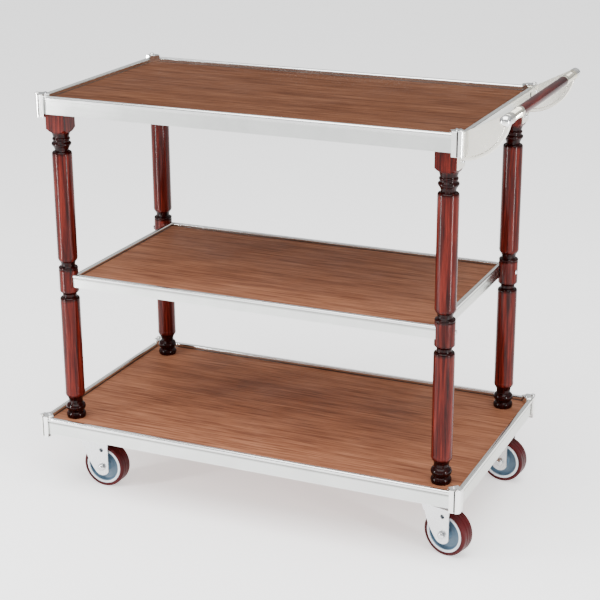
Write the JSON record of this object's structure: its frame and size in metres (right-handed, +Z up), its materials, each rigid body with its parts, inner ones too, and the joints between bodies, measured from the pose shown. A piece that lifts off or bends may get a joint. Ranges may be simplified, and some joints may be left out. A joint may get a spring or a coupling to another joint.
{
  "type": "food service trolley",
  "caption": "Open wheeled serving trolley with wood-grain trays in metal rails, turned posts, a push handle at one end and swivel casters.",
  "frame": {"origin": "on the floor, under the middle of the whole trolley with its handle", "axes": "+Z up, +X lengthwise towards the push handle, +Y across towards the back"},
  "size_m": [0.9468, 0.4976, 0.846],
  "materials": {
    "board_laminate": "satin",
    "rail_steel": "polished",
    "corner_casting": "satin",
    "post_lacquer": "gloss lacquer",
    "grip_wood": "gloss lacquer",
    "bracket_casting": "satin",
    "handle_chrome": "polished",
    "batten_wood": "matte",
    "caster_zinc": "zinc plated",
    "bolt_steel": "zinc plated",
    "screw_steel": "zinc plated",
    "hub_plastic": "matte",
    "tyre_tread": "satin"
  },
  "bodies": {
    "frame": {"bottom_board": "board_laminate", "bottom_corner_back_left": "corner_casting", "bottom_corner_back_right": "corner_casting", "bottom_corner_front_left": "corner_casting", "bottom_corner_front_right": "corner_casting", "bottom_rail_back": "rail_steel", "bottom_rail_front": "rail_steel", "bottom_rail_left": "rail_steel", "bottom_rail_right": "rail_steel", "caster_battens": "batten_wood", "caster_kingpins": "bolt_steel", "caster_plates": "caster_zinc", "caster_screws": "screw_steel", "corner_screws": "screw_steel", "handle_bracket_back": "bracket_casting", "handle_bracket_front": "bracket_casting", "handle_ferrule_back": "handle_chrome", "handle_ferrule_front": "handle_chrome", "handle_grip": "grip_wood", "handle_knob_back": "handle_chrome", "handle_knob_front": "handle_chrome", "handle_rod": "handle_chrome", "handle_screws": "screw_steel", "middle_board": "board_laminate", "middle_rail_back": "rail_steel", "middle_rail_front": "rail_steel", "middle_rail_left": "rail_steel", "middle_rail_right": "rail_steel", "post_back_left": "post_lacquer", "post_back_right": "post_lacquer", "post_bolts": "screw_steel", "post_front_left": "post_lacquer", "post_front_right": "post_lacquer", "shelf_screws": "screw_steel", "swivel_bearings": "bolt_steel", "top_board": "board_laminate", "top_corner_back_left": "corner_casting", "top_corner_back_right": "corner_casting", "top_corner_front_left": "corner_casting", "top_corner_front_right": "corner_casting", "top_rail_back": "rail_steel", "top_rail_front": "rail_steel", "top_rail_left": "rail_steel", "top_rail_right": "rail_steel"},
    "swivel_front_left": {"caster_fork_front_left": "caster_zinc", "caster_axle_front_left": "bolt_steel"},
    "wheel_front_left": {"wheel_hub_front_left": "hub_plastic", "tyre_front_left": "tyre_tread"},
    "swivel_front_right": {"caster_fork_front_right": "caster_zinc", "caster_axle_front_right": "bolt_steel"},
    "wheel_front_right": {"wheel_hub_front_right": "hub_plastic", "tyre_front_right": "tyre_tread"},
    "swivel_back_left": {"caster_fork_back_left": "caster_zinc", "caster_axle_back_left": "bolt_steel"},
    "wheel_back_left": {"wheel_hub_back_left": "hub_plastic", "tyre_back_left": "tyre_tread"},
    "swivel_back_right": {"caster_fork_back_right": "caster_zinc", "caster_axle_back_right": "bolt_steel"},
    "wheel_back_right": {"wheel_hub_back_right": "hub_plastic", "tyre_back_right": "tyre_tread"}
  },
  "joints": [
    {"name": "swivel_front_left", "type": "hinge", "parent": "frame", "child": "swivel_front_left", "pos_m": [-0.3986, -0.172, 0.105], "axis": [0, 0, 1], "continuous": true},
    {"name": "spin_front_left", "type": "hinge", "parent": "swivel_front_left", "child": "wheel_front_left", "pos_m": [-0.3646, -0.172, 0.045], "axis": [0, 1, 0], "continuous": true},
    {"name": "swivel_front_right", "type": "hinge", "parent": "frame", "child": "swivel_front_right", "pos_m": [0.3374, -0.172, 0.105], "axis": [0, 0, 1], "continuous": true},
    {"name": "spin_front_right", "type": "hinge", "parent": "swivel_front_right", "child": "wheel_front_right", "pos_m": [0.37024, -0.1808, 0.045], "axis": [0.2588, 0.9659, 0], "continuous": true},
    {"name": "swivel_back_left", "type": "hinge", "parent": "frame", "child": "swivel_back_left", "pos_m": [-0.3986, 0.172, 0.105], "axis": [0, 0, 1], "continuous": true},
    {"name": "spin_back_left", "type": "hinge", "parent": "swivel_back_left", "child": "wheel_back_left", "pos_m": [-0.36534, 0.17907, 0.045], "axis": [-0.2079, 0.9781, 0], "continuous": true},
    {"name": "swivel_back_right", "type": "hinge", "parent": "frame", "child": "swivel_back_right", "pos_m": [0.3374, 0.172, 0.105], "axis": [0, 0, 1], "continuous": true},
    {"name": "spin_back_right", "type": "hinge", "parent": "swivel_back_right", "child": "wheel_back_right", "pos_m": [0.37121, 0.16845, 0.045], "axis": [0.1045, 0.9945, 0], "continuous": true}
  ]
}
